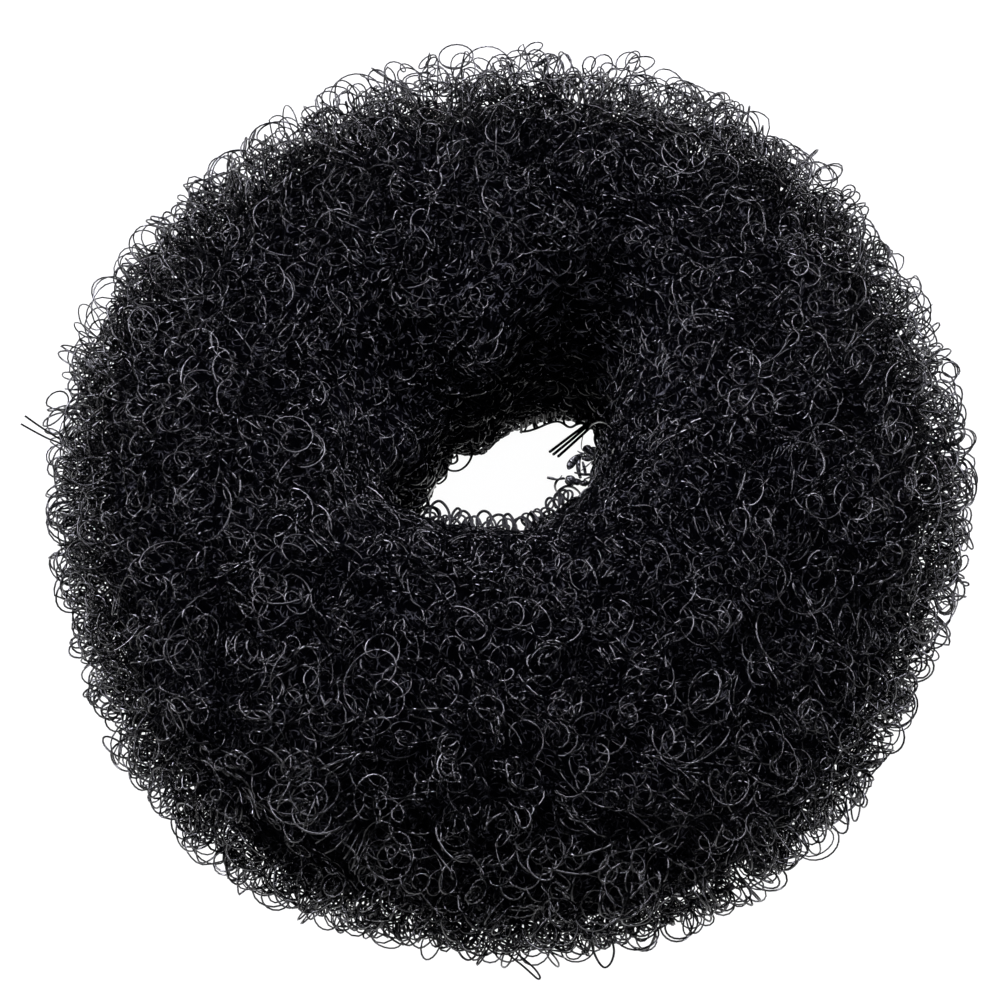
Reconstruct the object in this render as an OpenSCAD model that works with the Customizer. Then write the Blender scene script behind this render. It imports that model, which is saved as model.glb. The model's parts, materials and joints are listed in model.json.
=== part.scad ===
// A padded hair ring: a sleeve of curled black mesh, rolled up on itself into a fat soft ring
// with a slanted passage for a ponytail. It lies on its flattened underside on the plane Z = 0,
// with its box centred over the origin. Angles round the ring are in degrees, anticlockwise from
// +X as seen from above, so the front of the ring is at 270.

/* [Ring] */
// Width across the ring, from side to side
ring_d = 90; // [60:1:120]
// Width that the hair passage is drawn from
hole_d = 20; // [14:1:26]
// Height of the crest above the surface that the ring lies on
ring_h = 36; // [24:1:46]
// Width of the underside that is pressed flat
foot_w = 11; // [4:1:16]
// Squareness of the tube's shoulders, where 2 is an ellipse
shoulder = 2.15; // [2:0.05:2.6]
// Height of the widest line round the outside, as a share of the crest's height
belly_share = 0.46; // [0.3:0.02:0.6]
// Height of the narrowest line inside the passage, as a share of the crest's height
waist_share = 0.4; // [0.3:0.02:0.6]
// Depth of the deepest dent in the soft ring
dent_depth = 3; // [0:0.5:4]

/* [Seam end] */
// Angle round the ring at which the fused end of the mesh shows in the passage
seam_angle = 33; // [0:1:359]
// Size of the fused knot
knot_d = 1.6; // [1:0.1:2.4]
// Length of the longest flat end
blade_l = 3; // [2:0.5:5]
// Width of the longest flat end
blade_w = 1; // [0.6:0.1:1.6]
// Thickness of the flat ends
blade_t = 0.4; // [0.3:0.1:0.8]
// Gap between the knot and the wall of the passage
seam_gap = 0.3; // [0.1:0.05:0.5]

/* [Smoothness] */
// Sections round the ring
sections = 96; // [60:12:144]
// Points in each quarter of a section
quarter_points = 8; // [5:1:10]

/* [Hidden] */

// Columns of the table of sections
ANGLE = 0;
OUTER = 1;
HOLE = 2;
HEIGHT = 3;
CREST = 4;

// A row for each section that was judged by eye. OUTER is the reach of the outside as a share of
// ring_d / 2, HOLE that of the passage as a share of hole_d / 2, HEIGHT a share of ring_h, and
// CREST how far across the tube its highest line runs, from the passage outward.
SECTIONS = [
    [  0, 1.02, 0.86, 1.01, 0.44],
    [ 22, 1.02, 1.06, 0.99, 0.42],
    [ 45, 1.05, 1.38, 0.97, 0.41],
    [ 70, 1.06, 1.16, 0.96, 0.43],
    [100, 1.02, 0.78, 0.97, 0.50],
    [115, 1.00, 0.82, 0.97, 0.51],
    [130, 0.97, 0.73, 0.98, 0.52],
    [160, 0.97, 0.68, 0.99, 0.50],
    [190, 0.95, 0.70, 1.01, 0.47],
    [210, 0.97, 0.85, 1.03, 0.45],
    [235, 1.01, 0.68, 1.05, 0.43],
    [260, 1.00, 0.56, 1.06, 0.42],
    [285, 1.03, 0.61, 1.06, 0.42],
    [310, 1.03, 0.64, 1.05, 0.42],
    [335, 1.00, 0.68, 1.03, 0.44],
];

// Columns of the table of dents
PLACE = 1;
DEPTH = 2;
SPAN = 3;
REACH = 4;

// A row for each dent. PLACE is the angle round the tube, 0 at the belly, 90 at the crest and 180
// at the waist of the passage. DEPTH is a share of dent_depth, below zero for a swelling. SPAN and
// REACH are the angles over which it fades, round the ring and round the tube.
DENTS = [
    [150, 132,  1.00, 40, 40],
    [ 52, 138,  0.90, 42, 44],
    [102, 135, -0.55, 34, 42],
    [205,  72,  0.35, 30, 40],
    [318,  58,  0.35, 34, 44],
    [262, 104, -0.35, 44, 48],
];

// A row for each flat end at the seam: its heading from straight inward, its rise, and its length
// and width as shares of blade_l and blade_w.
HEADING = 0;
RISE = 1;
LENGTH = 2;
WIDTH = 3;
BLADES = [
    [ 10,   8, 1.00, 1.00],
    [ 36, -10, 0.95, 0.80],
    [-30,  -5, 0.45, 0.60],
];

function wrapped(angle) = angle - 360 * floor(angle / 360);
function nearest_turn(angle) = wrapped(angle + 180) - 180;

// Smooth curve through four values, t from 0 to 1 between the second and the third
function through(p, t) =
    (2 * p[1] + (p[2] - p[0]) * t
        + (2 * p[0] - 5 * p[1] + 4 * p[2] - p[3]) * pow(t, 2)
        + (3 * p[1] - p[0] - 3 * p[2] + p[3]) * pow(t, 3)) / 2;

// Value of a column at an angle, smooth all the way round the ring
function share(column, angle) =
    let (
        rows = len(SECTIONS),
        a = wrapped(angle),
        k = max([for (i = [0:rows - 1]) if (SECTIONS[i][ANGLE] <= a) i]),
        near = [for (step = [-1:2]) SECTIONS[(k + step + rows) % rows][column]],
        from = SECTIONS[k][ANGLE],
        to = k + 1 < rows ? SECTIONS[k + 1][ANGLE] : SECTIONS[0][ANGLE] + 360
    )
    through(near, (a - from) / (to - from));

function outer_reach(angle) = ring_d / 2 * share(OUTER, angle);
function hole_reach(angle) = hole_d / 2 * share(HOLE, angle);
function crest_height(angle) = ring_h * share(HEIGHT, angle);

// One point of a rounded quarter, t from 0 at its side to 90 at its top or bottom
function quarter_point(centre, reach, t) = [
    centre.x + reach.x * pow(cos(t), 2 / shoulder),
    centre.y + reach.y * pow(sin(t), 2 / shoulder)
];

// Fades from 1 to 0 as an offset grows from nothing to its limit
function fade(offset, limit) = abs(offset) < limit ? pow(cos(90 * offset / limit), 2) : 0;

function dent_at(angle, place) =
    let (
        parts = [
            for (row = DENTS)
                row[DEPTH] * fade(nearest_turn(angle - row[ANGLE]), row[SPAN])
                    * fade(place - row[PLACE], row[REACH])
        ],
        ones = [for (part = parts) 1]
    )
    dent_depth * (parts * ones);

// The tube's outline at an angle, as [radius, height, place] from the belly over the crest,
// down the passage, under the foot and back
function outline(angle) =
    let (
        outer = outer_reach(angle),
        hole = hole_reach(angle),
        top = crest_height(angle),
        crest = hole + (outer - hole) * share(CREST, angle),
        middle = (hole + outer) / 2,
        foot_in = middle - foot_w / 2,
        foot_out = middle + foot_w / 2,
        belly = top * belly_share,
        waist = top * waist_share,
        turn = 90 / quarter_points,
        shoulder_out = [
            for (k = [0:quarter_points - 1])
                [quarter_point([crest, belly], [outer - crest, top - belly], k * turn), k * turn]
        ],
        shoulder_in = [
            for (k = [0:quarter_points - 1])
                [quarter_point([crest, waist], [hole - crest, top - waist], 90 - k * turn),
                    90 + k * turn]
        ],
        flank_in = [
            for (k = [0:quarter_points])
                [quarter_point([foot_in, waist], [hole - foot_in, -waist], k * turn),
                    180 + k * turn]
        ],
        flank_out = [
            for (k = [0:quarter_points - 1])
                [quarter_point([foot_out, belly], [outer - foot_out, -belly], 90 - k * turn),
                    270 + k * turn]
        ],
        heart = [crest, top / 2]
    )
    [
        for (part = concat(shoulder_out, shoulder_in, flank_in, flank_out))
            let (
                p = part[0],
                inward = (heart - p) / norm(heart - p)
            )
            p + inward * dent_at(angle, part[1])
    ];

around = 4 * quarter_points + 1;
ring_points = [
    for (s = [0:sections - 1])
        let (angle = 360 * s / sections)
        for (p = outline(angle)) [p.x * cos(angle), p.x * sin(angle), p.y]
];
ring_faces = [
    for (s = [0:sections - 1], k = [0:around - 1])
        let (
            here = s * around,
            next = (s + 1) % sections * around,
            up = (k + 1) % around
        )
        each [[here + k, here + up, next + k], [next + k, here + up, next + up]]
];

// Brings the middle of the ring's box over the origin
xs = [for (p = ring_points) p.x];
ys = [for (p = ring_points) p.y];
to_centre = [-(min(xs) + max(xs)) / 2, -(min(ys) + max(ys)) / 2, 0];

// Where the knot's middle lies: as far out as it can go and still clear the wall by seam_gap,
// which is tried at each degree on both sides of its angle
knot_clear = knot_d / 2 + seam_gap;
knot_reach = min([
    for (side = [-45:45])
        let (
            wall = hole_reach(seam_angle + side),
            aside = wall * sin(side)
        )
        if (abs(aside) < knot_clear)
            wall * cos(side) - sqrt(pow(knot_clear, 2) - pow(aside, 2))
]);
knot_height = crest_height(seam_angle) * waist_share;

module mesh_ring() {
    color([0.05, 0.05, 0.06])
        translate(to_centre)
            polyhedron(points = ring_points, faces = ring_faces, convexity = 6);
}

// A pointed flat end that starts at the origin and lies along +X
module blade(length, width) {
    bend = (pow(length, 2) + pow(width, 2)) / (4 * width);
    translate([length / 2, 0, -blade_t / 2])
        intersection() {
            translate([0, bend - width / 2, 0]) cylinder(r = bend, h = blade_t, $fn = 96);
            translate([0, width / 2 - bend, 0]) cylinder(r = bend, h = blade_t, $fn = 96);
        }
}

module seam_end() {
    color([0.08, 0.08, 0.09])
        translate(to_centre)
            rotate([0, 0, seam_angle])
                translate([knot_reach, 0, knot_height]) {
                    sphere(d = knot_d, $fn = 48);
                    for (row = BLADES)
                        rotate([0, -row[RISE], 180 + row[HEADING]])
                            blade(blade_l * row[LENGTH], blade_w * row[WIDTH]);
                }
}

mesh_ring();
seam_end();
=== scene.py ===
import json
import math

import bpy
import numpy as np
from bpy.props import FloatProperty, FloatVectorProperty, IntProperty, PointerProperty
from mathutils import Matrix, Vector
from mathutils.bvhtree import BVHTree


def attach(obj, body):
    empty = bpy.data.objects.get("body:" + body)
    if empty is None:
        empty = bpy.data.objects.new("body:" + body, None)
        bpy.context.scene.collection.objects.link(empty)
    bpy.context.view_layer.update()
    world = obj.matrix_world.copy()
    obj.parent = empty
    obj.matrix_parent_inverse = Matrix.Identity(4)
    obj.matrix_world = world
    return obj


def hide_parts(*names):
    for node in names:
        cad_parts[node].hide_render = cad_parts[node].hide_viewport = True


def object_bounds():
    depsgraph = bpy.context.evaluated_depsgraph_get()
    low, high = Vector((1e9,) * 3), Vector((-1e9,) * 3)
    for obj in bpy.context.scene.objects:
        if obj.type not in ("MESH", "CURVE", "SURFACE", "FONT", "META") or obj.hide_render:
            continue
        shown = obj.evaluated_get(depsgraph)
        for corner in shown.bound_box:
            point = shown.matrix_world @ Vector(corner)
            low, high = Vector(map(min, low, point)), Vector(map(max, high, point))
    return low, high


bl_info = {
    "name": "Curled Mesh Bun Ring",
    "version": (1, 0, 0),
    "blender": (4, 5, 0),
    "location": "3D Viewport > Sidebar > Bun Ring",
    "description": "Curls nylon strands round a padded hair ring and lays it on a pale table",
    "category": "Object",
}

MM = 0.001
UP = np.array([0.0, 0.0, 1.0])

# Width and height of the picture, in pixels
PICTURE = 1000

# The ring's surface and its tufts, made once and shared by the steps
KEPT = {}

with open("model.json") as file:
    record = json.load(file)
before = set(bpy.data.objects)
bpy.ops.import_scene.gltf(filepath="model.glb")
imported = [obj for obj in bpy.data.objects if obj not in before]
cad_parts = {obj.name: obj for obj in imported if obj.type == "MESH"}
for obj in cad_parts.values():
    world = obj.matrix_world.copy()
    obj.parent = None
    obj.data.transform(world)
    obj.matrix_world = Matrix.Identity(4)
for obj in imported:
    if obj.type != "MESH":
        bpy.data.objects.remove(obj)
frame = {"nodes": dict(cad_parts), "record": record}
CAD_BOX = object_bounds()


def length(name, description, default, least, most):
    """A setting for a length, with its values given in millimetres."""
    return FloatProperty(
        name=name, description=description, default=default * MM, min=least * MM, max=most * MM,
        subtype="DISTANCE", unit="LENGTH",
    )


class SleeveSettings(bpy.types.PropertyGroup):
    """Sizes of the curled strands that the mesh sleeve is made of"""

    strand_width: length("Strand width", "Thickness of a nylon strand", 0.15, 0.05, 0.5)
    curl_radius: length("Curl radius", "Middle size of a strand's curls", 1.25, 0.4, 3)
    curl_pitch: length("Curl pitch", "How far a strand moves on with each curl", 1.8, 0.4, 5)
    proud: length("Proud", "How far the outermost curls stand out from the solid ring", 1.5, 0, 4)
    strands: IntProperty(
        name="Strands", description="Strands in each turn of the sleeve",
        default=400, min=8, max=2000,
    )
    bends: IntProperty(
        name="Bends", description="Short bends that each strand is made of",
        default=78, min=20, max=400,
    )
    tuft_width: length("Tuft width", "Distance between the soft tufts at the rim", 6.8, 2, 20)
    tuft_height: length("Tuft height", "How far the tufts stand out and the hollows sink", 0.7, 0, 3)
    nylon_colour: FloatVectorProperty(
        name="Nylon colour", description="Colour of the dyed strands",
        default=(0.0003, 0.0003, 0.0005), size=3, min=0, max=1, subtype="COLOR",
    )


class CoreSettings(bpy.types.PropertyGroup):
    """Sizes of the dense middle of the rolled sleeve"""

    depth_outside: length(
        "Depth outside", "Depth of the dense mesh below the ring's outer side", 4.0, 1, 10
    )
    depth_passage: length(
        "Depth in the passage", "Depth of the dense mesh behind the passage's wall", 0.5, 0.2, 6
    )
    lump_height: length("Lump height", "Unevenness of the dense mesh", 0.5, 0, 2)
    core_colour: FloatVectorProperty(
        name="Core colour", description="Colour deep between the strands",
        default=(0.0005, 0.0005, 0.0008), size=3, min=0, max=1, subtype="COLOR",
    )


class StageSettings(bpy.types.PropertyGroup):
    """Camera, table and light"""

    elevation: FloatProperty(
        name="Elevation", description="Angle of the view above the table",
        default=math.radians(66), subtype="ANGLE", unit="ROTATION",
    )
    distance: FloatProperty(
        name="Distance", description="Distance from the camera to the ring's middle",
        default=340 * MM, subtype="DISTANCE", unit="LENGTH",
    )
    view_width: FloatProperty(
        name="View width", description="Width of the view at the ring's middle",
        default=98.5 * MM, subtype="DISTANCE", unit="LENGTH",
    )
    aim: FloatVectorProperty(
        name="Aim", description="Point at the middle of the picture",
        default=(-1.08 * MM, -0.24 * MM, 14.76 * MM), size=3, subtype="TRANSLATION", unit="LENGTH",
    )
    sky_light: FloatProperty(
        name="Sky light", description="Strength of the soft light from all round",
        default=0.03, min=0, max=5,
    )
    table_glow: FloatProperty(
        name="Table glow", description="How brightly the pale table glows",
        default=0.98, min=0, max=2,
    )


def between(before, here, after, beyond, t):
    """Smooth curve through four values, t from 0 to 1 between the second and the third."""
    curve = 2 * here + (after - before) * t
    curve += (2 * before - 5 * here + 4 * after - beyond) * t**2
    curve += (3 * here - before - 3 * after + beyond) * t**3
    return curve / 2


def drift(rng, strands, steps, amount, spacing, width=1):
    """Smooth random values along each strand, with a spread and a turn about every `spacing` steps."""
    knots = steps // spacing + 5
    values = rng.standard_normal((strands, knots, width))
    place = np.arange(steps) / spacing + 1 + rng.random((strands, 1))
    first = np.floor(place).astype(int)
    rows = np.arange(strands)[:, None]
    near = (values[rows, first + k] for k in (-1, 0, 1, 2))
    smooth = between(*near, (place - first)[..., None])
    return amount * (smooth if width > 1 else smooth[..., 0])


def through(knots, steps):
    """Values at even steps of a smooth curve through the knots."""
    knots = np.concatenate([2 * knots[:1] - knots[1:2], knots, 2 * knots[-1:] - knots[-2:-1]])
    place = np.linspace(0, len(knots) - 3, steps)
    first = np.minimum(place.astype(int), len(knots) - 4)
    return between(*(knots[first + k] for k in range(4)), (place - first)[:, None])


def view_axes(stage):
    """The ways toward the viewer and up the picture."""
    toward_eye = np.array([0, -math.cos(stage.elevation), math.sin(stage.elevation)])
    rise = np.array([0, math.sin(stage.elevation), math.cos(stage.elevation)])
    return toward_eye, rise


def seen_at(stage, across, down, height):
    """The point at a height above the table that shows at a pixel of the picture."""
    toward_eye, rise = view_axes(stage)
    pixel = stage.view_width / PICTURE
    eye = np.array(stage.aim) + toward_eye * stage.distance
    ray = np.array([(across - PICTURE / 2) * pixel, 0, 0]) + rise * (PICTURE / 2 - down) * pixel
    ray = ray - toward_eye * stage.distance
    return eye + ray * (height - eye[2]) / ray[2]


def drawn(stage, rows, steps):
    """A smooth path through rows of pixel across, pixel down and height in millimetres."""
    return through(np.array([seen_at(stage, x, y, z * MM) for x, y, z in rows]), steps)


def unit(vectors):
    """The vectors at length one."""
    return vectors / np.maximum(np.linalg.norm(vectors, axis=-1, keepdims=True), 1e-12)


def row_dot(a, b):
    """Dot product of each pair of vectors, kept as a column."""
    return (a * b).sum(-1, keepdims=True)


def ease(t):
    """Smooth step from 0 to 1."""
    t = np.clip(t, 0, 1)
    return t * t * (3 - 2 * t)


def ramp(values, start, span):
    """0 up to a start, rising smoothly to 1 a span further on."""
    return ease((values - start) / span)


def kept_above(heights, lowest, soft):
    """Heights that level off softly above the lowest one."""
    return lowest + soft * np.logaddexp(0, (heights - lowest) / soft)


def grid_at(grid, turn, roll, fade=None):
    """Values between the points of a grid that is closed both ways, at an angle round the ring and
    one round the tube, both in radians."""
    lines, points = grid.shape[:2]
    x = turn / (2 * math.pi) * lines % lines
    y = roll / (2 * math.pi) * points % points
    i, j = np.floor(x).astype(int), np.floor(y).astype(int)
    u, v = (x - i)[..., None], (y - j)[..., None]
    if fade:
        u, v = fade(u), fade(v)
    i, j, i2, j2 = i % lines, j % points, (i + 1) % lines, (j + 1) % points
    near = grid[i, j] * (1 - u) + grid[i2, j] * u
    far = grid[i, j2] * (1 - u) + grid[i2, j2] * u
    return near * (1 - v) + far * v


class Tufts:
    """Smooth lumps and hollows over the ring, between about -1 and 1."""

    def __init__(self, rng, around, over):
        self.values = rng.uniform(-1, 1, (around, over, 1))

    def at(self, turn, roll):
        """Height at angles in radians."""
        return grid_at(self.values, turn, roll, ease)[..., 0]


class RingSurface:
    """The solid ring's surface, read as a smooth grid: one line for each angle round the ring, and on
    it a point for each angle round the tube, from the outside over the crest to the passage."""

    LINES = 288
    POINTS = 144

    # A distance that is well outside the ring, and the height of the first rays as a share of its own
    FAR = 0.2
    RAY_HEIGHT = 0.42

    # How many neighbours on each side smooth the tube's middle, and its reach both ways round
    MIDDLE_BLUR = 5
    TURN_BLUR = 2
    ROLL_BLUR = 1

    # The strands wanted on the underside, as a share of those above, and how many more in the passage
    LEAST_BELOW = 0.12
    MORE_INSIDE = 0.4

    def __init__(self, node, middle):
        mesh = node.data
        tree = BVHTree.FromPolygons(
            [v.co.copy() for v in mesh.vertices], [tuple(p.vertices) for p in mesh.polygons]
        )
        self.middle = np.array([middle[0], middle[1], 0.0])
        turns = np.arange(self.LINES) * 2 * math.pi / self.LINES
        rolls = np.arange(self.POINTS) * 2 * math.pi / self.POINTS
        reach = np.zeros((self.LINES, self.POINTS))
        hearts = np.zeros((self.LINES, 2))
        level = CAD_BOX[1][2] * self.RAY_HEIGHT
        start = Vector(self.middle) + Vector((0, 0, level))
        for i, turn in enumerate(turns):
            out = Vector((math.cos(turn), math.sin(turn), 0))
            inner = (tree.ray_cast(start, out)[0] - start).length
            outer = (tree.ray_cast(start + out * self.FAR, -out)[0] - start).length
            above = start + out * (inner + outer) / 2 + Vector((0, 0, self.FAR))
            top = tree.ray_cast(above, Vector((0, 0, -1)))[0].z
            hearts[i] = (inner + outer) / 2, top / 2
        hearts = self.blurred(hearts, self.MIDDLE_BLUR)
        for i, turn in enumerate(turns):
            out = Vector((math.cos(turn), math.sin(turn), 0))
            heart = Vector(self.middle) + out * hearts[i, 0] + Vector((0, 0, hearts[i, 1]))
            for j, roll in enumerate(rolls):
                ray = out * math.cos(roll) + Vector((0, 0, math.sin(roll)))
                reach[i, j] = (tree.ray_cast(heart, ray)[0] - heart).length
        reach = self.blurred(self.blurred(reach, self.TURN_BLUR).T, self.ROLL_BLUR).T
        outs = np.stack([np.cos(turns), np.sin(turns), 0 * turns], -1)
        heart_points = self.middle + outs * hearts[:, :1] + UP * hearts[:, 1:]
        rays = outs[:, None] * np.cos(rolls)[:, None] + UP * np.sin(rolls)[:, None]
        points = heart_points[:, None] + rays * reach[..., None]
        along = (np.roll(points, -1, 0) - np.roll(points, 1, 0)) * self.LINES / (4 * math.pi)
        over = (np.roll(points, -1, 1) - np.roll(points, 1, 1)) * self.POINTS / (4 * math.pi)
        normals = unit(np.cross(along, over))
        self.grid = np.concatenate([points, normals, along, over], -1)
        area = np.linalg.norm(np.cross(along, over), axis=-1)
        above = self.LEAST_BELOW + (1 - self.LEAST_BELOW) * ramp(normals[..., 2], -0.9, 1.1)
        inside = ramp(-np.cos(rolls), 0.1, 0.5)
        self.wanted = area * (above + (1 - above) * inside) * (1 + self.MORE_INSIDE * inside)

    @staticmethod
    def blurred(values, width):
        """Values round a closed line, each the weighted mean of its neighbours."""
        steps = range(-width, width + 1)
        weights = [math.exp(-((s / width) ** 2)) for s in steps]
        return sum(w * np.roll(values, s, 0) for s, w in zip(steps, weights)) / sum(weights)

    def at(self, turn, roll):
        """Points, outward normals, and the ways along the ring and over the tube for each radian."""
        mixed = grid_at(self.grid, turn, roll)
        return mixed[..., :3], unit(mixed[..., 3:6]), mixed[..., 6:9], mixed[..., 9:12]

    def scatter(self, rng, count):
        """Angles spread evenly over the surface, but more thinly on the underside."""
        golden = (math.sqrt(5) - 1) / 2
        rank = (np.arange(count) + rng.random(count)) / count
        aside = (np.arange(count) * golden + rng.random()) % 1
        lines = np.cumsum(self.wanted.sum(1))
        turn = np.interp(rank, lines / lines[-1], np.arange(1, self.LINES + 1))
        chosen = np.cumsum(self.wanted[turn.astype(int) % self.LINES], 1)
        chosen /= chosen[:, -1:]
        roll = np.array([np.interp(a, c, np.arange(1, self.POINTS + 1)) for a, c in zip(aside, chosen)])
        return turn * 2 * math.pi / self.LINES, roll * 2 * math.pi / self.POINTS

    def walk(self, turn, roll, heading, advance):
        """Angles at each step of walks over the surface. heading is the way from along the ring."""
        turns, rolls = np.empty_like(advance), np.empty_like(advance)
        for k in range(advance.shape[1]):
            turns[:, k], rolls[:, k] = turn, roll
            _, _, along, over = self.at(turn, roll)
            turn = turn + np.cos(heading[:, k]) * advance[:, k] / np.linalg.norm(along, axis=-1)
            roll = roll + np.sin(heading[:, k]) * advance[:, k] / np.linalg.norm(over, axis=-1)
        return turns, rolls


class Cover:
    """How thickly the strands laid so far cover the ring, in cells about 2 mm wide."""

    AROUND = 96
    OVER = 48
    ROUNDS = 12

    def __init__(self, surface):
        blocks = self.AROUND, surface.LINES // self.AROUND, self.OVER, surface.POINTS // self.OVER
        self.wanted = surface.wanted.reshape(blocks).sum((1, 3))
        self.laid = np.zeros((self.AROUND, self.OVER))

    def cells(self, turns, rolls):
        """The cell that each pair of angles falls in."""
        i = np.floor(turns / (2 * math.pi) * self.AROUND).astype(int) % self.AROUND
        j = np.floor(rolls / (2 * math.pi) * self.OVER).astype(int) % self.OVER
        return i, j

    def pick(self, turns, rolls, count):
        """The walks that cross the barest cells, picked and laid some at a time."""
        left = np.arange(len(turns))
        picked = []
        for batch in np.array_split(np.arange(count), self.ROUNDS):
            near = sum(np.roll(self.laid, step, axis) for step in (-1, 1) for axis in (0, 1))
            thickness = (2 * self.laid + near) / self.wanted
            order = np.argsort(thickness[self.cells(turns[left], rolls[left])].mean(1))
            chosen = left[order[:len(batch)]]
            np.add.at(self.laid, self.cells(turns[chosen], rolls[chosen]), 1)
            left = left[order[len(batch):]]
            picked.append(chosen)
        return np.concatenate(picked)


def joined_mesh(name, points, faces, material, tone=None):
    """A smooth-shaded mesh object from arrays of points and faces."""
    mesh = bpy.data.meshes.new(name)
    mesh.from_pydata(points.reshape(-1, 3).tolist(), [], faces)
    mesh.polygons.foreach_set("use_smooth", [True] * len(mesh.polygons))
    mesh.materials.append(material)
    if tone is not None:
        mesh.attributes.new("tone", "FLOAT", "POINT").data.foreach_set("value", tone.ravel())
    mesh.update()
    piece = bpy.data.objects.new(name, mesh)
    bpy.context.scene.collection.objects.link(piece)
    return piece


def tube_faces(strands, steps, sides):
    """The walls and ends of closed tubes, whose points go round each ring and on along the strand."""
    corner = np.arange(strands * steps * sides).reshape(strands, steps, sides)
    near, far = corner[:, :-1], corner[:, 1:]
    walls = np.stack([near, np.roll(near, -1, 2), np.roll(far, -1, 2), far], -1)
    return walls.reshape(-1, 4).tolist() + corner[:, 0, ::-1].tolist() + corner[:, -1].tolist()


def strand_tubes(name, paths, widths, material, rng, sides=3):
    """One mesh of closed tubes. paths is strands by points by 3, and widths the tubes' thickness."""
    strands, steps = paths.shape[:2]
    tangents = unit(np.gradient(paths, axis=1))
    slanted = UP + 0.3
    side = unit(np.cross(tangents[:, 0], slanted))
    rings = np.empty((strands, steps, sides, 3))
    around = np.arange(sides) * 2 * math.pi / sides
    as_wide = math.pi / (sides * math.sin(math.pi / sides))
    radius = np.broadcast_to(np.asarray(widths)[..., None, None] / 2 * as_wide, (strands, steps, 1, 1))
    for k in range(steps):
        side = unit(side - row_dot(side, tangents[:, k]) * tangents[:, k])
        other = np.cross(tangents[:, k], side)
        ring = side[:, None] * np.cos(around)[:, None] + other[:, None] * np.sin(around)[:, None]
        rings[:, k] = paths[:, k, None] + ring * radius[:, k]
    tone = np.broadcast_to(rng.random((strands, 1, 1)), (strands, steps, sides))
    return joined_mesh(name, rings, tube_faces(strands, steps, sides), material, tone)


def flat_strip(path, half_widths, half_thickness, facing, sides=10):
    """Points and faces of a closed strip along a path, widest across the way it faces. Where it is
    narrower than two thirds of its widest, it is thinner too."""
    steps = len(path)
    tangents = unit(np.gradient(path, axis=0))
    across = unit(np.cross(tangents, facing))
    through_it = np.cross(tangents, across)
    wide = through(np.array(half_widths)[:, None], steps)
    angle = np.arange(sides) * 2 * math.pi / sides
    thick = half_thickness * np.minimum(1, 1.5 * wide / wide.max())
    points = path[:, None] + (across * wide)[:, None] * np.cos(angle)[:, None]
    points = points + (through_it * thick)[:, None] * np.sin(angle)[:, None]
    return points.reshape(-1, 3), tube_faces(1, steps, sides)


def lump(middle, reach, frame_axes, rng, lines=24, rows=14, uneven=0.22):
    """Points and faces of a closed uneven lump with a given reach along each of three axes."""
    turn, tilt = np.meshgrid(
        np.arange(lines) * 2 * math.pi / lines, np.linspace(0, math.pi, rows + 2)[1:-1], indexing="ij"
    )
    ball = np.stack([np.cos(turn) * np.sin(tilt), np.sin(turn) * np.sin(tilt), np.cos(tilt)], -1)
    ball = np.concatenate([ball.reshape(-1, 3), [[0, 0, 1], [0, 0, -1]]])
    fineness = np.array([2, 2.5, 3, 4, 5, 6, 7])
    waves = rng.standard_normal((len(fineness), 3)) * fineness[:, None]
    starts = rng.uniform(0, 2 * math.pi, len(fineness))
    swell = (np.sin(ball @ waves.T + starts) / (2 + np.arange(len(fineness)))).sum(1)
    points = middle + (ball * np.array(reach) * (1 + uneven * swell[:, None])) @ frame_axes
    corner = np.arange(lines * rows).reshape(lines, rows)
    beside = np.roll(corner, -1, 0)
    top, bottom = lines * rows, lines * rows + 1
    walls = np.stack([corner[:, :-1], corner[:, 1:], beside[:, 1:], beside[:, :-1]], -1).reshape(-1, 4)
    faces = walls.tolist()
    faces += [[top, a, b] for a, b in zip(corner[:, 0].tolist(), beside[:, 0].tolist())]
    faces += [[bottom, b, a] for a, b in zip(corner[:, -1].tolist(), beside[:, -1].tolist())]
    return points, faces


def gathered(parts):
    """The points and faces of several shapes as those of one mesh."""
    points, faces, count = [], [], 0
    for some, sides in parts:
        points.append(some)
        faces += [[v + count for v in side] for side in sides]
        count += len(some)
    return np.concatenate(points), faces


class CurlRecipe:
    """How the strands of one turn of the sleeve run: how deep they lie, how they are curled, and the
    refractive index that sets their gloss, less for the inner turns, which lie in the dark. The lower
    index is painted shade: it dims the inner turns' gloss as if they lay in shadow."""

    def __init__(self, shallow, deep, heading, index, radius=1.0, flatness=0.05 * MM, cut=1, pitch=1.0):
        self.shallow = shallow
        self.deep = deep
        self.heading = math.radians(heading)
        self.index = index
        self.radius = radius
        self.flatness = flatness
        self.cut = cut
        self.pitch = pitch


def inside_passage(roll):
    """1 on the passage's wall, falling to 0 over the crest."""
    return ramp(-np.cos(roll), -0.2, 0.9)


def on_front_lip(turn, roll):
    """1 on the front side of the passage's wall, where the curls are loose."""
    return inside_passage(roll) * ramp(-np.sin(turn), 0.2, 0.5)


def summed(places, turn, roll):
    """The sum of the smooth places of a table at angles in radians."""
    total = 0
    for middle, span, height, reach, most in places:
        aside = np.mod(np.degrees(turn) - middle + 180, 360) - 180
        above = np.mod(np.degrees(roll) - height + 180, 360) - 180
        total = total + most * ease(1 - np.abs(aside) / span) * ease(1 - np.abs(above) / reach)
    return total


# How much the strands of a turn differ: the spread between them, and the drift along each, as an
# amount and the number of bends between its turns. Radius and pitch differ by powers of e, and the
# heading by radians. UP_SPREAD is how strongly the curls are set to face up or down.
RADIUS_SPREAD, RADIUS_DRIFT = 0.22, (0.2, 14)
PITCH_SPREAD, PITCH_DRIFT = 0.35, (0.35, 11)
HEADING_SPREAD, HEADING_DRIFT = 0.4, (0.7, 12)
UP_SPREAD, FACING_DRIFT = 1.4, (0.2, 34)
DEPTH_DRIFT = (0.35 * MM, 29)

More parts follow.
